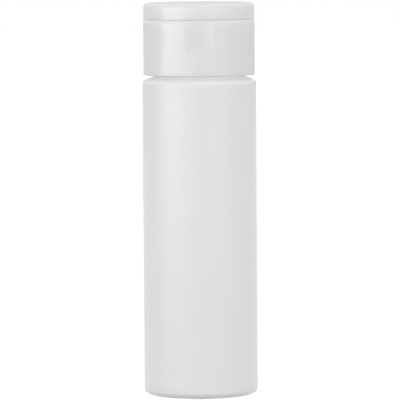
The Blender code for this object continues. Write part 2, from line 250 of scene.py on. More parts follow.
class HingeSizes(bpy.types.PropertyGroup):
    """Sizes of the hinge seats, the two leaves and the snap strap."""

    gap: length("Gap", "Clearance between the CAD solids at the hinge", 0.3 * MM)
    flat_drop: length("Flat drop", "Depth of the flat recess below the hinge line", 5.6 * MM)
    wall: length("Wall", "Thickness of the wall behind the flat recess", 1.3 * MM)
    wall_width: length("Wall width", "Width of the wall behind the flat recess", 12.0 * MM)
    ring_gap: length("Ring gap", "Width of the gap in the seat ring", 13.6 * MM)
    slot_width: length("Slot width", "Width of the snap strap's slot", 3.8 * MM)
    slot_depth: length("Slot depth", "Depth of the slot behind the flat recess", 1.7 * MM)
    slot_wall: length("Slot wall", "Thickness of the wall round the slot", 1.0 * MM)
    edge: length("Edge", "Bevel on the blocks that cut the recess and the slot", 0.25 * MM)
    film: length("Film", "Thickness of the film at the hinge line", 0.2 * MM)
    groove: length("Groove", "Half height of the groove at the film", 1.0 * MM)
    bend: length("Bend", "Half height of a leaf's part that bends", 0.4 * MM)
    relief: length("Relief", "Half height of the gap between the two flat walls", 0.55 * MM)
    strap_end: length("Strap end", "Thickness of the strap at its ends", 0.35 * MM)
    strap_middle: length("Strap middle", "Thickness of the strap at its middle", 0.6 * MM)
    strap_bow: length("Strap bow", "How far the strap bows out", 0.5 * MM)
    strap_bend: length("Strap bend", "Half height of its part that bends", 2.1 * MM)
    strap_sink: length("Strap sink", "How far its ends are sunk into the slots", 0.1 * MM)
    round: length("Rounding", "Bevel on the leaves and the strap", 0.05 * MM)


class PlasticLooks(bpy.types.PropertyGroup):
    """Colours and finishes of the plastics."""

    body: tint("Bottle", "Natural polyethylene of the bottle", "F9FAFB")
    cap: tint("Cap", "Natural polypropylene of the cap", "EFF0F1")
    foam: tint("Seal", "White foam of the seal ring", "EFEFEC")
    body_rough: number("Bottle roughness", "Roughness of the bottle", 0.30)
    cap_rough: number("Cap roughness", "Roughness of the cap", 0.22)
    depth: length("Depth", "How deep light strays in a wall", 2.0 * MM)
    passed: number("Passed", "Share of scattered light that crosses a face", 0.96)


class StudioLooks(bpy.types.PropertyGroup):
    """Brightness of the studio round the bottle."""

    surroundings: number("Surroundings", "Radiance outside the tent", 0.9)
    tent_front: number("Tent front", "Radiance of its foot behind the camera", 1.40)
    tent_back: number("Tent back", "Radiance of its foot behind the bottle", 0.80)
    tent_top: number("Tent top", "Radiance of its top", 0.62)
    lamps: number("Lamps", "Factor on the radiance of every lamp", 1.0)


class TravelBottle(bpy.types.PropertyGroup):
    """Everything about the travel bottle that a user can change."""

    bottle: bpy.props.PointerProperty(type=BottleSizes)
    thread: bpy.props.PointerProperty(type=ThreadSizes)
    cap: bpy.props.PointerProperty(type=CapSizes)
    scoop: bpy.props.PointerProperty(type=ScoopSizes)
    lid: bpy.props.PointerProperty(type=LidSizes)
    hinge: bpy.props.PointerProperty(type=HingeSizes)
    plastic: bpy.props.PointerProperty(type=PlasticLooks)
    studio: bpy.props.PointerProperty(type=StudioLooks)


# Outlines

# Size of a primitive before it is shaped
START_SIZE = 1 * MM

# How far a cutting block reaches past what it cuts, the bevel on blocks that stay out of sight, and how
# far a leaf's roots are sunk into the flat walls
OVERRUN = 2 * MM
INNER_EDGE = 0.03125 * MM
ROOT_SINK = 0.0625 * MM

# The shortest straight side that gets a point near each end, and how far from the end
SUPPORT_LIMIT = 1.2 * MM
SUPPORT_REACH = 0.25 * MM


def rounded(corners):
    """Points through (x, z), (x, z, reach) or (x, z, reach before, reach after).

    A corner with a reach becomes an arc, and a long straight side gets a point near each of its
    ends, which keeps the shading of the arcs off it.
    """
    points = []
    for index, (x, z, *reaches) in enumerate(corners):
        corner = Vector((x, z))
        if not reaches:
            points.append(corner)
            continue
        before = (Vector(corners[index - 1][:2]) - corner).normalized() * reaches[0]
        after = (Vector(corners[(index + 1) % len(corners)][:2]) - corner).normalized() * reaches[-1]
        steps = min(ARC_LEAST_STEPS + math.floor(max(reaches) / ARC_STEP_REACH), ARC_MOST_STEPS)
        for step in range(steps + 1):
            angle = math.pi / 2 * step / steps
            points.append(corner + before * (1 - math.sin(angle)) + after * (1 - math.cos(angle)))
    outline = []
    for point, following in zip(points, points[1:] + points[:1]):
        outline.append(point)
        side = following - point
        if side.length > SUPPORT_LIMIT:
            reach = side.normalized() * SUPPORT_REACH
            outline += [point + reach, following - reach]
    return outline


def draw_line(name, points, closed):
    """A new object with one line of edges, drawn point by point, and left in edit mode."""
    bpy.ops.object.select_all(action="DESELECT")
    bpy.ops.mesh.primitive_plane_add(size=START_SIZE, location=(0, 0, 0))
    piece = bpy.context.object
    piece.name = name
    piece.data.name = name
    bpy.ops.object.mode_set(mode="EDIT")
    bpy.ops.mesh.merge(type="CENTER")
    bpy.ops.transform.translate(value=points[0])
    for here, there in zip(points, points[1:]):
        bpy.ops.mesh.extrude_vertices_move(TRANSFORM_OT_translate={"value": there - here})
    if closed:
        mesh = bmesh.from_edit_mesh(piece.data)
        mesh.verts.ensure_lookup_table()
        mesh.verts[0].select = True
        bpy.ops.mesh.edge_face_add()
    return piece


def tidy_surface():
    """In edit mode: merges doubles, turns all faces outwards and goes back to object mode."""
    bpy.ops.mesh.select_all(action="SELECT")
    bpy.ops.mesh.remove_doubles(threshold=MERGE_DISTANCE)
    bpy.ops.mesh.normals_make_consistent(inside=False)
    bpy.ops.mesh.select_all(action="DESELECT")
    bpy.ops.object.mode_set(mode="OBJECT")


def turn(name, outline, azimuth, sectors):
    """A closed surface turned from an outline of (radius, height), sector by sector.

    The outline is drawn at the azimuth, and each sector is an angle and its number of steps.
    """
    across = Vector((math.cos(azimuth), math.sin(azimuth), 0))
    points = [across * x + Vector((0, 0, z)) for x, z in outline]
    piece = draw_line(name, points, closed=outline[0].x > 0)
    bpy.ops.mesh.select_all(action="SELECT")
    for angle, steps in sectors:
        bpy.ops.mesh.spin(steps=steps, angle=-angle, center=(0, 0, 0), axis=(0, 0, 1))
    tidy_surface()
    return piece


def block(name, low, high, edge):
    """A bevelled block between two corners."""
    bpy.ops.object.select_all(action="DESELECT")
    middle = (Vector(low) + Vector(high)) / 2
    bpy.ops.mesh.primitive_cube_add(size=1, location=middle, scale=Vector(high) - Vector(low))
    piece = bpy.context.object
    piece.name = name
    bpy.ops.object.transform_apply(location=True, rotation=True, scale=True)
    bpy.ops.object.mode_set(mode="EDIT")
    bpy.ops.mesh.select_all(action="SELECT")
    bpy.ops.mesh.bevel(offset=edge, segments=BEVEL_SEGMENTS)
    bpy.ops.mesh.select_all(action="DESELECT")
    bpy.ops.object.mode_set(mode="OBJECT")
    return piece


def select_only(piece):
    """Selects the piece alone and makes it the active object."""
    bpy.ops.object.select_all(action="DESELECT")
    piece.select_set(True)
    bpy.context.view_layer.objects.active = piece


def apply_modifier(piece, modifier):
    """Applies one modifier to the piece."""
    select_only(piece)
    bpy.ops.object.modifier_apply(modifier=modifier.name)


def combine(piece, operation, tool):
    """Joins a tool to the piece, or cuts it out, and removes the tool."""
    modifier = piece.modifiers.new(tool.name, "BOOLEAN")
    modifier.operation = operation
    modifier.solver = "MANIFOLD"
    modifier.object = tool
    apply_modifier(piece, modifier)
    bpy.data.objects.remove(tool, do_unlink=True)


def dress(piece, material, node=None):
    """Gives a finished piece its smooth shading and material, and hides its CAD node."""
    select_only(piece)
    bpy.ops.object.shade_smooth_by_angle(angle=SMOOTH_ANGLE)
    piece.data.materials.clear()
    piece.data.materials.append(material)
    if node:
        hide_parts(node)


# Materials

# What both plastics show: streaks drawn out along the piece, faint clouds and slow waves
STREAK_STRETCH_SHARE = 0.04
CLOUD_SIZE = 14 * MM
CLOUD_SHARE = 0.02
WAVE_HEIGHT = 0.010 * MM
ROUGH_SWING = 0.02

# How far up the bottle's foot the painted shade reaches, and how much darker it makes the colour
FOOT_SHADE_HEIGHT = 6 * MM
FOOT_SHADE_SHARE = 0.06

# Refraction, the distance between streaks, and the width and depth of the mould's fine dimples
BODY_IOR = 1.51
BODY_STREAK = 5.0 * MM
BODY_GRAIN = 0.9 * MM
BODY_GRAIN_HEIGHT = 0.004 * MM
CAP_IOR = 1.49
CAP_STREAK = 7.0 * MM
CAP_GRAIN = 1.2 * MM
CAP_GRAIN_HEIGHT = 0.002 * MM

# The foam's cells, and how much light is left at the middle between them
FOAM_IOR = 1.45
FOAM_ROUGH = 0.85
FOAM_CELL = 0.35 * MM
FOAM_CELL_HEIGHT = 0.06 * MM
FOAM_SHADE_SHARE = 0.9

# The range that a noise's values usually fill
NOISE_LOW = 0.3
NOISE_HIGH = 0.7


def add_node(tree, kind, settings=None, links=None):
    """A node with its settings by attribute or socket name, and its links by socket name."""
    node = tree.nodes.new(kind)
    for name, value in (settings or {}).items():
        if isinstance(name, str) and hasattr(node, name):
            setattr(node, name, value)
        else:
            node.inputs[name].default_value = value
    for name, source in (links or {}).items():
        tree.links.new(source, node.inputs[name])
    return node


def new_material(name):
    """An empty node material, its tree and its output."""
    material = bpy.data.materials.new(name)
    material.use_nodes = True
    material.node_tree.nodes.clear()
    output = add_node(material.node_tree, "ShaderNodeOutputMaterial")
    return material, material.node_tree, output


def varied(tree, source, low, high):
    """The value from low to high as a noise's value goes over its usual range."""
    settings = {"From Min": NOISE_LOW, "From Max": NOISE_HIGH, "To Min": low, "To Max": high}
    return add_node(tree, "ShaderNodeMapRange", settings, {"Value": source.outputs["Fac"]})


def noise(tree, place, grain):
    """Noise whose grain has a real size in metres."""
    return add_node(tree, "ShaderNodeTexNoise", {"Scale": 1 / grain}, {"Vector": place})


def plastic_shade(tree, place, colour):
    """The plastic's colour with faint clouds, and painted shade that darkens it towards the foot."""
    shade = varied(tree, noise(tree, place, CLOUD_SIZE), 1 - CLOUD_SHARE, 1)
    up = add_node(tree, "ShaderNodeSeparateXYZ", None, {0: place}).outputs["Z"]
    # Painted shade: the colour gets darker towards the bottle's foot
    settings = {"interpolation_type": "SMOOTHSTEP", "From Max": FOOT_SHADE_HEIGHT, "To Min": 1 - FOOT_SHADE_SHARE}
    foot_shade = add_node(tree, "ShaderNodeMapRange", settings, {"Value": up})
    links = {0: shade.outputs["Result"], 1: foot_shade.outputs["Result"]}
    both = add_node(tree, "ShaderNodeMath", {"operation": "MULTIPLY"}, links)
    settings = {"operation": "SCALE", 0: colour[:3]}
    return add_node(tree, "ShaderNodeVectorMath", settings, {"Scale": both.outputs[0]}).outputs["Vector"]


def plastic_skin(tree, place, rough, streak, grain, grain_height):
    """The skin's roughness and normal: streaks drawn out along the piece, and the mould's dimples."""
    drawn = add_node(tree, "ShaderNodeMapping", {"Scale": (1, 1, STREAK_STRETCH_SHARE)}, {"Vector": place})
    streaks = noise(tree, drawn.outputs["Vector"], streak)
    dimples = noise(tree, place, grain)
    roughness = varied(tree, streaks, rough - ROUGH_SWING, rough + ROUGH_SWING)
    waves = add_node(tree, "ShaderNodeBump", {"Strength": 1.0, "Distance": WAVE_HEIGHT},
                     {"Height": streaks.outputs["Fac"]})
    skin = add_node(tree, "ShaderNodeBump", {"Strength": 1.0, "Distance": grain_height},
                    {"Height": dimples.outputs["Fac"], "Normal": waves.outputs["Normal"]})
    return roughness.outputs["Result"], skin.outputs["Normal"]


def thin_wall(tree, wall, passed):
    """Lets a share of the light go straight through on its way to a surface, but none on its way to the eye.

    In such a hollow piece light crosses the walls more often than a render follows it.
    """
    gap = add_node(tree, "ShaderNodeBsdfTransparent").outputs["BSDF"]
    thin = add_node(tree, "ShaderNodeMixShader", {0: passed}, {1: wall, 2: gap}).outputs["Shader"]
    path = add_node(tree, "ShaderNodeLightPath")
    surface = wall
    for ray in ("Is Diffuse Ray", "Is Shadow Ray"):
        links = {0: path.outputs[ray], 1: surface, 2: thin}
        surface = add_node(tree, "ShaderNodeMixShader", None, links).outputs["Shader"]
    return surface


def milky_plastic(name, looks, colour, rough, ior, streak, grain, grain_height):
    """A milky plastic: light strays through its wall, and its skin has flow streaks and a grain.

    The streak is how far apart the streaks are round the piece, and the grain is the size of the
    dimples that the mould leaves.
    """
    material = bpy.data.materials.get(name)
    if material:
        return material
    material, tree, output = new_material(name)
    place = add_node(tree, "ShaderNodeTexCoord").outputs["Object"]
    roughness, normal = plastic_skin(tree, place, rough, streak, grain, grain_height)
    settings = {
        "IOR": ior,
        "subsurface_method": "RANDOM_WALK",
        "Subsurface Weight": 1.0,
        "Subsurface Radius": (1.0, 1.0, 1.0),
        "Subsurface Scale": looks.depth,
    }
    links = {"Base Color": plastic_shade(tree, place, colour), "Roughness": roughness, "Normal": normal}
    wall = add_node(tree, "ShaderNodeBsdfPrincipled", settings, links).outputs["BSDF"]
    tree.links.new(thin_wall(tree, wall, looks.passed), output.inputs["Surface"])
    return material


def polyethylene(looks):
    """Low-density polyethylene, blow moulded: a milky wall with a satin skin and faint streaks."""
    return milky_plastic("Natural polyethylene blow moulded", looks, looks.body, looks.body_rough, BODY_IOR,
                         BODY_STREAK, BODY_GRAIN, BODY_GRAIN_HEIGHT)


def polypropylene(looks):
    """Polypropylene, injection moulded: as milky, a little cooler, with a smoother and glossier skin."""
    return milky_plastic("Natural polypropylene injection moulded", looks, looks.cap, looks.cap_rough,
                         CAP_IOR, CAP_STREAK, CAP_GRAIN, CAP_GRAIN_HEIGHT)


def foam(looks):
    """Closed-cell polyethylene foam, skived: matt white with fine open cells on its cut faces."""
    material, tree, output = new_material("White polyethylene foam skived")
    place = add_node(tree, "ShaderNodeTexCoord").outputs["Object"]
    cells = add_node(tree, "ShaderNodeTexVoronoi", {"Scale": 1 / FOAM_CELL}, {"Vector": place})
    shade = add_node(tree, "ShaderNodeMapRange", {"To Min": 1.0, "To Max": FOAM_SHADE_SHARE},
                     {"Value": cells.outputs["Distance"]})
    base = add_node(tree, "ShaderNodeVectorMath", {"operation": "SCALE", 0: looks.foam[:3]},
                    {"Scale": shade.outputs["Result"]})
    skin = add_node(tree, "ShaderNodeBump", {"Strength": 1.0, "Distance": FOAM_CELL_HEIGHT, "invert": True},
                    {"Height": cells.outputs["Distance"]})
    shader = add_node(tree, "ShaderNodeBsdfPrincipled", {"Roughness": FOAM_ROUGH, "IOR": FOAM_IOR},
                      {"Base Color": base.outputs["Vector"], "Normal": skin.outputs["Normal"]})
    tree.links.new(shader.outputs["BSDF"], output.inputs["Surface"])
    return material


# Bottle

def bottle_outline(size):
    """The bottle's wall from the middle of its base, round the lip and back down its inside."""
    foot_outer = size.radius - size.foot_width
    foot_inner = foot_outer - size.ring
    slope = size.shoulder_rise / (size.radius - size.neck)
    bore = size.neck - size.neck_wall
    inside = size.radius - size.wall
    inside_shoulder = size.shoulder - size.wall
    inside_root = inside_shoulder + slope * (inside - bore)
    return rounded([
        (0, size.push_up),
        (foot_inner - size.push_up_edge, size.push_up, size.ring, size.push_up_edge),
        (foot_inner, 0),
        (foot_outer, 0),
        (size.radius, 0, size.foot_width, size.foot_height),
        (size.radius, size.shoulder, size.shoulder_corner),
        (size.neck, size.shoulder + size.shoulder_rise, size.neck_root),
        (size.neck, size.lip, size.lip_round),
        (bore, size.lip, size.lip_round),
        (bore, inside_root, size.neck_root),
        (inside, inside_shoulder, size.shoulder_corner),
        (inside, size.base_wall, size.foot_height),
        (foot_inner, size.base_wall),
        (foot_inner - size.push_up_edge, size.base_wall + size.push_up, size.push_up_edge, size.ring),
        (0, size.base_wall + size.push_up),
    ])


def raise_seams(piece, size):
    """Lifts the mould's parting line up the two sides of the body."""
    bpy.ops.object.mode_set(mode="EDIT")
    mesh = bmesh.from_edit_mesh(piece.data)
    for vertex in mesh.verts:
        x, y, z = vertex.co
        on_wall = abs(x) > size.radius - size.shoulder_corner / 2 and z > size.foot_height
        vertex.select = on_wall and abs(y) < MERGE_DISTANCE and abs(x) > size.radius - size.wall / 2
    mesh.select_flush_mode()
    growth = (size.radius + size.seam_height) / size.radius
    bpy.ops.transform.resize(value=(growth, 1, 1), center_override=(0, 0, 0))
    bpy.ops.mesh.select_all(action="DESELECT")
    bpy.ops.object.mode_set(mode="OBJECT")


def make_bottle(size, material):
    """The blow-moulded bottle with its two seams."""
    seam = size.seam_width / size.radius
    half = ((seam, SEAM_STEPS), (math.pi - seam, ROUND_STEPS // 2))
    piece = turn("bottle_shell", bottle_outline(size), -seam / 2, half + half)
    raise_seams(piece, size)
    dress(piece, material, "bottle")
    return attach(piece, "bottle")


def make_weld(size, material):
    """The weld that the mould pinches off across the domed base."""
    low = (-size.weld_length / 2, -size.weld_width / 2, size.push_up - size.weld_height)
    high = (size.weld_length / 2, size.weld_width / 2, size.push_up + size.weld_height)
    piece = block("base_weld", low, high, size.weld_round)
    dress(piece, material)
    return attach(piece, "bottle")


# Threads

THREAD_ROUND_SHARE = 1 / 3


def fade_ends(piece, size, sunk, low):
    """Sinks both ends of a thread to the sunk radius, each over the angle of the run-out."""
    for vertex in piece.data.vertices:
        x, y, z = vertex.co
        turned = (z - low) / PITCH * FULL_TURN
        angle = math.atan2(y, x)
        angle += FULL_TURN * round((turned - angle) / FULL_TURN)
        ahead = min(angle, FULL_TURN * size.turns - angle) / size.run_out
        fade = min(max(ahead, 0), 1)
        fade = fade * fade * (3 - 2 * fade)
        reach = math.hypot(x, y)
        share = (sunk + (reach - sunk) * fade) / reach
        vertex.co = (x * share, y * share, z)


def make_thread(name, size, wall, side, top, material, body):
    """A right-handed thread on a round wall, whose upper end is at the height given.

    The side is 1 for a thread that stands out of the wall and -1 for one inside a bore.
    """
    low = top - PITCH * size.turns
    sunk = wall - side * size.sink
    half_root = size.root / 2
    half_crest = size.crest / 2
    profile = [
        (sunk, low - half_root),
        (sunk, low + half_root),
        (wall + side * size.depth, low + half_crest),
        (wall + side * size.depth, low - half_crest),
    ]
    piece = draw_line(name, [Vector((x, 0, z)) for x, z in profile], closed=True)
    bpy.ops.mesh.select_all(action="SELECT")
    bpy.ops.mesh.bevel(offset=size.crest * THREAD_ROUND_SHARE, segments=BEVEL_SEGMENTS, affect="VERTICES")
    bpy.ops.object.mode_set(mode="OBJECT")
    screw = piece.modifiers.new("thread", "SCREW")
    screw.angle = FULL_TURN * size.turns
    screw.screw_offset = PITCH * size.turns
    screw.steps = screw.render_steps = round(THREAD_STEPS * size.turns)
    screw.use_smooth_shade = True
    apply_modifier(piece, screw)
    fade_ends(piece, size, sunk, low)
    bpy.ops.object.mode_set(mode="EDIT")
    bpy.ops.mesh.select_all(action="DESELECT")
    bpy.ops.mesh.select_mode(type="EDGE")
    bpy.ops.mesh.select_non_manifold(extend=False)
    bpy.ops.mesh.edge_face_add()
    bpy.ops.mesh.select_mode(type="VERT")
    tidy_surface()
    dress(piece, material)
    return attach(piece, body)


# Seal

def make_seal(material):
    """The foam ring between the lip and the deck."""
    edge = (SEAL_HIGH.z - SEAL_LOW.z) * SEAL_ROUND_SHARE
    outline = rounded([
        (SEAL_BORE, SEAL_LOW.z, edge),
        (SEAL_HIGH.x, SEAL_LOW.z, edge),
        (SEAL_HIGH.x, SEAL_HIGH.z, edge),
        (SEAL_BORE, SEAL_HIGH.z, edge),
    ])
    piece = turn("foam_seal", outline, 0, [(FULL_TURN, ROUND_STEPS)])
    dress(piece, material, "seal_ring")
    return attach(piece, "seal")


# Cap base

# Roundings on the tips of the plug, inside and outside, and of the skirt, as shares of their walls
PLUG_TIP_SHARES = (1 / 4, 1 / 2)
SKIRT_TIP_SHARE = 1 / 4


def cap_outline(size, scoop):
    """The cap base's section, with fine rows where the scoop is pressed in."""
    deck = size.deck_under + size.deck
    rim = deck + size.rim_step
    seat_top = rim + size.seat_height
    seat_bore = size.seat - size.seat_wall
    tip = size.spout_foot - size.spout_taper
    throat = size.spout - size.orifice_length
    plug_bore = size.plug - size.plug_wall
    plug_foot = size.deck_under - size.plug_depth
    skirt = size.skirt + size.skirt_wall
    skirt_foot = size.foot + size.skirt_lift
    plug_inside, plug_outside = [size.plug_wall * share for share in PLUG_TIP_SHARES]
    skirt_tip = size.skirt_wall * SKIRT_TIP_SHARE
    bore = size.radius - size.wall
    row_foot = size.foot + scoop.bottom - SCOOP_BORDER
    row_top = rim - size.rim_height
    rows = math.ceil((row_top - row_foot) / SCOOP_ROW)
    back_foot = row_foot - size.wall
    back_top = size.deck_under - size.root
    back_rows = math.ceil((back_top - back_foot) / SCOOP_BACK_ROW)
    front = [(size.radius, row_foot + (row_top - row_foot) * row / rows) for row in range(rows)]
    back = [(bore, back_top - (back_top - back_foot) * row / back_rows) for row in range(1, back_rows + 1)]
    return rounded([
        (size.radius, size.foot, size.foot_round),
        *front,
        (size.radius, rim, size.rim_height, size.rim_depth),
        (size.seat, rim),
        (size.seat, seat_top, size.edge),
        (seat_bore, seat_top, size.edge),
        (seat_bore, deck, size.edge),
        (size.spout_foot, deck, size.spout_root),
        (tip, size.spout, size.spout_tip),
        (size.orifice, size.spout, size.orifice_round),
        (size.orifice, throat),
        (tip - size.spout_wall, throat),
        (size.spout_foot - size.spout_wall, size.deck_under, size.orifice_round),
        (plug_bore, size.deck_under, size.edge),
        (plug_bore, plug_foot, plug_inside),
        (size.plug, plug_foot, plug_outside),
        (size.plug, size.deck_under),
        (size.skirt, size.deck_under),
        (size.skirt, skirt_foot, skirt_tip),
        (skirt, skirt_foot, skirt_tip),
        (skirt, size.deck_under, size.edge),
        (bore, size.deck_under, size.root),
        *back,
        (bore, size.foot, size.foot_round),
    ])


def press_scoop(piece, size, scoop):
    """Presses the thumb scoop into the shell and moves the wall behind it in by as much.

    Across its width the scoop is hollow as a bowl, and it ends round at its foot. Its softness
    rounds the line where it runs out into the shell.
    """
    rim = size.deck_under + size.deck + size.rim_step
    foot = size.foot + scoop.bottom
    for vertex in piece.data.vertices:
        x, y, z = vertex.co
        reach = math.hypot(x, y)
        if z > size.deck_under + MERGE_DISTANCE:
            still, moving = size.seat, size.radius - size.rim_depth
        else:
            still, moving = size.skirt + size.skirt_wall, size.radius - size.wall - size.root
        if y > 0 or z > rim + MERGE_DISTANCE or reach < still:
            continue
        across = x * size.radius / reach / (scoop.width / 2)
        down = max(1 - (z - foot) / scoop.end, 0)
        inside = scoop.depth * (1 - across ** 2 - down ** 2)
        blend = min(max(inside + scoop.softness, 0), 2 * scoop.softness)
        push = blend ** 2 / (4 * scoop.softness) + max(inside - scoop.softness, 0)
        vertex.co.y = y + push * min((reach - still) / (moving - still), 1)


def add_hinge_seat(piece, size, foot, top, flat_foot, slot_foot, slot_top):
    """The flat wall and the strap's slot at the back of the cap base or the lid."""
    flat = LEAF_LOW.y - size.gap
    slot = flat - size.slot_depth
    half_wall = size.wall_width / 2
    half_slot = size.slot_width / 2
    half_box = half_slot + size.slot_wall
    beyond = CAP_HIGH.x + OVERRUN
    steps = (
        ("DIFFERENCE", "flat_cut", (-beyond, flat, flat_foot), (beyond, beyond, top + OVERRUN), size.edge),
        ("UNION", "hinge_wall", (-half_wall, flat - size.wall, foot), (half_wall, flat, top), INNER_EDGE),
        ("UNION", "slot_box", (-half_box, slot - size.slot_wall, foot), (half_box, flat, top), INNER_EDGE),
        ("DIFFERENCE", "slot_cut", (-half_slot, slot, slot_foot), (half_slot, beyond, slot_top), size.edge),
    )
    for operation, name, low, high, edge in steps:
        combine(piece, operation, block(name, low, high, edge))


def make_cap(sizes, material):
    """The cap base: turned section, pressed scoop and hinge seat."""
    size, scoop, hinge = sizes.cap, sizes.scoop, sizes.hinge
    front = 2 * math.asin((scoop.width / 2 + SCOOP_BORDER) / size.radius)
    sectors = [(front, SCOOP_STEPS), (FULL_TURN - front, ROUND_STEPS)]
    piece = turn("cap_shell", cap_outline(size, scoop), -math.pi / 2 - front / 2, sectors)
    press_scoop(piece, size, scoop)
    rim = size.deck_under + size.deck + size.rim_step
    half_gap = hinge.ring_gap / 2
    beyond = size.radius + OVERRUN
    cut = block("ring_cut", (-half_gap, 0, rim), (half_gap, beyond, size.spout), INNER_EDGE)
    combine(piece, "DIFFERENCE", cut)
    slot_foot = STRAP_LOW.z - hinge.gap
    add_hinge_seat(piece, hinge, slot_foot - hinge.slot_wall, rim, HINGE.z - hinge.flat_drop, slot_foot,
                   rim + OVERRUN)
    dress(piece, material, "cap_base")
    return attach(piece, "cap")


# Lid

def lid_outline(size, cap):
    """The lid's section, from the middle of its top round to the tip of its pin."""
    deck = cap.deck_under + cap.deck
    lap = cap.spout - size.collar_lap
    spout_at_lap = cap.spout_foot - cap.spout_taper * (lap - deck) / (cap.spout - deck)
    collar = spout_at_lap + size.gap
    pin = cap.orifice - size.gap
    pin_foot = cap.spout - size.pin_lap
    under = size.top - size.plate
    bore = size.radius - size.wall
    return rounded([
        (0, size.top),
        (size.radius, size.top, size.top_round),
        (size.radius, size.foot, size.edge_height, size.edge_depth),
        (bore, size.foot, size.small_round),
        (bore, under, size.root),
        (collar + size.collar_wall, under, size.small_round),
        (collar + size.collar_wall, lap, size.small_round),
        (collar, lap, size.small_round),
        (collar, under),
        (pin, under),
        (pin, pin_foot, size.pin_round),
        (0, pin_foot),
    ])


def make_lid(sizes, material):
    """The lid: turned section and hinge seat."""
    size, hinge = sizes.lid, sizes.hinge
    piece = turn("lid_shell", lid_outline(size, sizes.cap), 0, [(FULL_TURN, ROUND_STEPS)])
    add_hinge_seat(piece, hinge, size.foot, size.top - size.top_round, size.foot - OVERRUN,
                   size.foot - OVERRUN, STRAP_HIGH.z + hinge.gap)
    dress(piece, material, "lid")
    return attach(piece, "lid")


# Hinge

def band(name, heights, near, far, low_x, high_x, edge):
    """A strip across X whose two faces stand at the Y that near and far give for each height."""
    piece = draw_line(name, [Vector((low_x, near(z), z)) for z in heights], closed=False)
    bpy.ops.mesh.select_all(action="SELECT")
    bpy.ops.mesh.extrude_edges_move(TRANSFORM_OT_translate={"value": (0, START_SIZE, 0)})
    mesh = bmesh.from_edit_mesh(piece.data)
    for vertex in mesh.verts:
        if vertex.select:
            vertex.co.y = far(vertex.co.z)
    bpy.ops.mesh.select_all(action="SELECT")
    bpy.ops.mesh.extrude_region_move(TRANSFORM_OT_translate={"value": (high_x - low_x, 0, 0)})
    tidy_surface()
    bevel = piece.modifiers.new("edges", "BEVEL")
    bevel.width = edge
    bevel.segments = EDGE_SEGMENTS
    bevel.limit_method = "ANGLE"
    bevel.angle_limit = BEVEL_ANGLE
    apply_modifier(piece, bevel)
    return piece


def make_leaf(name, side, size, material):
    """One leaf of the living hinge: two stout roots on the flat walls, thinned to a film between them."""
    flat = LEAF_LOW.y - size.gap
    film_near = HINGE.y - size.film / 2
    film_far = HINGE.y + size.film / 2

    def near(z):
        return flat - ROOT_SINK if abs(z - HINGE.z) > size.relief else film_near

    def far(z):
        share = min(abs(z - HINGE.z) / size.groove, 1)
        return film_far + (LEAF_HIGH.y - film_far) * share

    heights = [LEAF_LOW.z + (LEAF_HIGH.z - LEAF_LOW.z) * row / LEAF_ROWS for row in range(LEAF_ROWS + 1)]
    low, high = sorted((side * LEAF_LOW.x, side * LEAF_HIGH.x))
    piece = band(name, heights, near, far, low, high, size.round)
    dress(piece, material, f"hinge_leaf_{'left' if side < 0 else 'right'}")
    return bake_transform(piece)


def make_strap(size, material):
    """The snap strap: a bowed band whose thin ends grow out of the two slots."""
    low = STRAP_LOW.z - size.gap - size.strap_sink
    high = STRAP_HIGH.z + size.gap + size.strap_sink

    def swell(z):
        return math.sin(math.pi * (z - low) / (high - low))

    def near(z):
        return STRAP_LOW.y + size.strap_bow * swell(z)

    def far(z):
        return near(z) + size.strap_end + (size.strap_middle - size.strap_end) * swell(z)

    heights = [low + (high - low) * row / STRAP_ROWS for row in range(STRAP_ROWS + 1)]
    piece = band("strap_web", heights, near, far, STRAP_LOW.x, STRAP_HIGH.x, size.round)
    dress(piece, material, "snap_strap")
    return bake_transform(piece)


# Studio

FLOOR_SIZE = 8.0
FLOOR_PAINT = "B4B4B4"
FLOOR_LIFT = 0.70
TENT_RADIUS = 1.7
TENT_SEGMENTS = 48
WHITE = linear("FFFFFF")

# Height that the lamps look at
AIM_HEIGHT = 75 * MM

# Each lamp's name, degrees left of the camera and up, distance, width, height, radiance and use
LAMPS = (
    ("side panel", 80, 0, 1.1, 0.19, 0.50, 2.2, "gloss"),
    ("middle panel", 65, 0, 1.1, 0.39, 0.50, 4.0, "gloss"),
    ("wing panel", 45, 0, 1.1, 0.39, 0.50, 3.4, "gloss"),
    ("low panel", 22, 0, 1.1, 0.51, 0.15, 2.3, "gloss"),
    ("right panel", -35, 0, 1.1, 0.96, 0.50, 0.8, "gloss"),
    ("front light", 12, 25, 0.5, 0.30, 0.30, 0.68, "colour"),
)

# The camera's place, how far it looks down and is turned about its view in radians, and its focal length
# in millimetres over a sensor of 36 mm
CAMERA_PLACE = (-0.000013, -1.38358, 0.16368)
CAMERA_PITCH = 0.0711
CAMERA_ROLL = -0.0067
CAMERA_LENS = 372.94


def seen_ray(tree):
    """One where the camera, a reflection or a transmission sees the surface, otherwise zero."""
    path = add_node(tree, "ShaderNodeLightPath")
    seen = add_node(tree, "ShaderNodeMath", {"operation": "MAXIMUM"},
                    {0: path.outputs["Is Camera Ray"], 1: path.outputs["Is Glossy Ray"]})
    return add_node(tree, "ShaderNodeMath", {"operation": "MAXIMUM"},
                    {0: seen.outputs[0], 1: path.outputs["Is Transmission Ray"]})


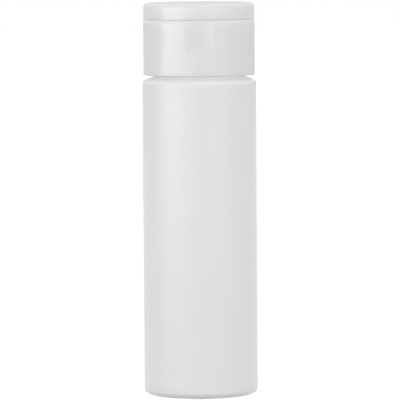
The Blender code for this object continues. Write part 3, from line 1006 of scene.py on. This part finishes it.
def make_floor():
    """A pale table that is seen as white but keeps the bottle's shadow."""
    bpy.ops.object.select_all(action="DESELECT")
    bpy.ops.mesh.primitive_plane_add(size=FLOOR_SIZE, location=(0, 0, 0))
    floor = bpy.context.object
    floor.name = "table"
    material, tree, output = new_material("White table")
    paint = add_node(tree, "ShaderNodeBsdfDiffuse", {"Color": linear(FLOOR_PAINT)})
    glow = add_node(tree, "ShaderNodeEmission", {"Color": WHITE})
    lift = add_node(tree, "ShaderNodeMath", {"operation": "MULTIPLY", 1: FLOOR_LIFT},
                    {0: seen_ray(tree).outputs[0]})
    tree.links.new(lift.outputs[0], glow.inputs["Strength"])
    links = {0: paint.outputs["BSDF"], 1: glow.outputs["Emission"]}
    both = add_node(tree, "ShaderNodeAddShader", None, links)
    tree.links.new(both.outputs["Shader"], output.inputs["Surface"])
    floor.data.materials.append(material)
    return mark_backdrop(floor)


def make_tent(looks):
    """A dome of glowing white fabric, dimmer at its top and behind the bottle.

    The camera looks through its wall.
    """
    bpy.ops.object.select_all(action="DESELECT")
    rings = TENT_SEGMENTS // 2
    bpy.ops.mesh.primitive_uv_sphere_add(segments=TENT_SEGMENTS, ring_count=rings, radius=TENT_RADIUS)
    tent = bpy.context.object
    tent.name = "light tent"
    tent.visible_camera = False
    bpy.ops.object.mode_set(mode="EDIT")
    bpy.ops.mesh.select_all(action="SELECT")
    bpy.ops.mesh.bisect(plane_co=(0, 0, 0), plane_no=(0, 0, 1), clear_inner=True)
    bpy.ops.mesh.select_all(action="SELECT")
    bpy.ops.mesh.flip_normals()
    bpy.ops.object.mode_set(mode="OBJECT")
    material, tree, output = new_material("White tent fabric")
    place = add_node(tree, "ShaderNodeTexCoord").outputs["Object"]
    along = add_node(tree, "ShaderNodeSeparateXYZ", None, {0: place})
    settings = {"From Min": -TENT_RADIUS, "From Max": TENT_RADIUS, "To Min": looks.tent_front,
                "To Max": looks.tent_back}
    side = add_node(tree, "ShaderNodeMapRange", settings, {"Value": along.outputs["Y"]})
    glow = add_node(tree, "ShaderNodeMapRange", {"From Max": TENT_RADIUS, "To Max": looks.tent_top},
                    {"Value": along.outputs["Z"], "To Min": side.outputs["Result"]})
    light = add_node(tree, "ShaderNodeEmission", {"Color": WHITE}, {"Strength": glow.outputs["Result"]})
    tree.links.new(light.outputs["Emission"], output.inputs["Surface"])
    tent.data.materials.append(material)
    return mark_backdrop(tent)


def light_surroundings(radiance):
    """The white that the camera sees past the tent, and the light on the table out there."""
    world = bpy.data.worlds.new("White studio")
    bpy.context.scene.world = world
    world.use_nodes = True
    tree = world.node_tree
    tree.nodes.clear()
    strength = add_node(tree, "ShaderNodeMapRange", {"To Min": radiance, "To Max": 1.0},
                        {"Value": seen_ray(tree).outputs[0]})
    sky = add_node(tree, "ShaderNodeBackground", {"Color": WHITE},
                   {"Strength": strength.outputs["Result"]})
    add_node(tree, "ShaderNodeOutputWorld", None, {"Surface": sky.outputs["Background"]})


def add_lamp(factor, name, left, up, distance, width, height, radiance, use):
    """A soft rectangular lamp that looks at the bottle, for its gloss or for its colour alone."""
    azimuth = math.radians(left)
    elevation = math.radians(up)
    level = math.cos(elevation)
    away = Vector((-math.sin(azimuth) * level, -math.cos(azimuth) * level, math.sin(elevation)))
    data = bpy.data.lights.new(name, "AREA")
    data.shape = "RECTANGLE"
    data.size = width
    data.size_y = height
    data.energy = factor * radiance * math.pi * width * height
    lamp = bpy.data.objects.new(name, data)
    bpy.context.scene.collection.objects.link(lamp)
    lamp.location = Vector((0, 0, AIM_HEIGHT)) + away * distance
    lamp.rotation_euler = away.to_track_quat("Z", "Y").to_euler()
    lamp.visible_diffuse = use == "colour"
    lamp.visible_glossy = use == "gloss"


def add_camera():
    """The camera fitted to the bottle's outline in the photograph."""
    data = bpy.data.cameras.new("camera")
    data.lens = CAMERA_LENS
    camera = bpy.data.objects.new("camera", data)
    bpy.context.scene.collection.objects.link(camera)
    tilted = Euler((math.pi / 2 - CAMERA_PITCH, 0, 0)).to_matrix()
    turned = tilted @ Matrix.Rotation(CAMERA_ROLL, 3, "Z")
    camera.location = CAMERA_PLACE
    camera.rotation_euler = turned.to_euler()
    bpy.context.scene.camera = camera


# Operators

class TRAVELBOTTLE_OT_bottle(bpy.types.Operator):
    """Model the bottle and the weld on its base"""

    bl_idname = "travel_bottle.bottle"
    bl_label = "Bottle"

    def execute(self, context):
        settings = context.scene.travel_bottle
        material = polyethylene(settings.plastic)
        make_bottle(settings.bottle, material)
        make_weld(settings.bottle, material)
        return {"FINISHED"}


class TRAVELBOTTLE_OT_threads(bpy.types.Operator):
    """Model the thread on the neck and the thread in the cap"""

    bl_idname = "travel_bottle.threads"
    bl_label = "Threads"

    def execute(self, context):
        settings = context.scene.travel_bottle
        size = settings.thread
        top = settings.bottle.lip - size.start
        lapped = size.root / 2 + size.crest / 2 + size.slack
        body = polyethylene(settings.plastic)
        cap = polypropylene(settings.plastic)
        make_thread("neck_thread", size, settings.bottle.neck, 1, top, body, "bottle")
        make_thread("cap_thread", size, settings.cap.skirt, -1, top - lapped, cap, "cap")
        return {"FINISHED"}


class TRAVELBOTTLE_OT_seal(bpy.types.Operator):
    """Model the foam ring between the neck and the cap"""

    bl_idname = "travel_bottle.seal"
    bl_label = "Seal Ring"

    def execute(self, context):
        make_seal(foam(context.scene.travel_bottle.plastic))
        return {"FINISHED"}


class TRAVELBOTTLE_OT_cap(bpy.types.Operator):
    """Model the cap base with its scoop and spout"""

    bl_idname = "travel_bottle.cap"
    bl_label = "Cap Base"

    def execute(self, context):
        settings = context.scene.travel_bottle
        make_cap(settings, polypropylene(settings.plastic))
        return {"FINISHED"}


class TRAVELBOTTLE_OT_lid(bpy.types.Operator):
    """Model the lid with its collar and pin"""

    bl_idname = "travel_bottle.lid"
    bl_label = "Lid"

    def execute(self, context):
        settings = context.scene.travel_bottle
        make_lid(settings, polypropylene(settings.plastic))
        return {"FINISHED"}


class TRAVELBOTTLE_OT_hinge(bpy.types.Operator):
    """Model the two leaves of the living hinge and the snap strap"""

    bl_idname = "travel_bottle.hinge"
    bl_label = "Hinge"

    def execute(self, context):
        settings = context.scene.travel_bottle
        material = polypropylene(settings.plastic)
        make_leaf("leaf_web_left", -1, settings.hinge, material)
        make_leaf("leaf_web_right", 1, settings.hinge, material)
        make_strap(settings.hinge, material)
        return {"FINISHED"}


class TRAVELBOTTLE_OT_studio(bpy.types.Operator):
    """Set up the white table, the soft lamps and the camera"""

    bl_idname = "travel_bottle.studio"
    bl_label = "Studio"

    def execute(self, context):
        looks = context.scene.travel_bottle.studio
        make_floor()
        make_tent(looks)
        light_surroundings(looks.surroundings)
        for lamp in LAMPS:
            add_lamp(looks.lamps, *lamp)
        add_camera()
        context.scene.view_settings.view_transform = "Standard"
        return {"FINISHED"}


OPERATORS = (
    TRAVELBOTTLE_OT_bottle,
    TRAVELBOTTLE_OT_threads,
    TRAVELBOTTLE_OT_seal,
    TRAVELBOTTLE_OT_cap,
    TRAVELBOTTLE_OT_lid,
    TRAVELBOTTLE_OT_hinge,
    TRAVELBOTTLE_OT_studio,
)


class TRAVELBOTTLE_PT_panel(bpy.types.Panel):
    """The bottle's pieces and settings in the sidebar"""

    bl_idname = "TRAVELBOTTLE_PT_panel"
    bl_label = "Travel Bottle"
    bl_space_type = "VIEW_3D"
    bl_region_type = "UI"
    bl_category = "Travel Bottle"

    def draw(self, context):
        settings = context.scene.travel_bottle
        for operator in OPERATORS:
            self.layout.operator(operator.bl_idname)
        for group in settings.bl_rna.properties:
            if group.type == "POINTER" and group.identifier != "rna_type":
                box = self.layout.box()
                box.label(text=group.identifier.capitalize())
                values = getattr(settings, group.identifier)
                for value in values.bl_rna.properties:
                    if value.identifier not in ("rna_type", "name"):
                        box.prop(values, value.identifier)


CLASSES = (
    BottleSizes,
    ThreadSizes,
    CapSizes,
    ScoopSizes,
    LidSizes,
    HingeSizes,
    PlasticLooks,
    StudioLooks,
    TravelBottle,
    *OPERATORS,
    TRAVELBOTTLE_PT_panel,
)


def register():
    for item in CLASSES:
        bpy.utils.register_class(item)
    bpy.types.Scene.travel_bottle = bpy.props.PointerProperty(type=TravelBottle)


def unregister():
    del bpy.types.Scene.travel_bottle
    for item in reversed(CLASSES):
        bpy.utils.unregister_class(item)


def main():
    register()
    bpy.ops.travel_bottle.bottle()
    bpy.ops.travel_bottle.threads()
    bpy.ops.travel_bottle.seal()
    bpy.ops.travel_bottle.cap()
    bpy.ops.travel_bottle.lid()
    bpy.ops.travel_bottle.hinge()
    bpy.ops.travel_bottle.studio()


if __name__ == "__main__":
    main()
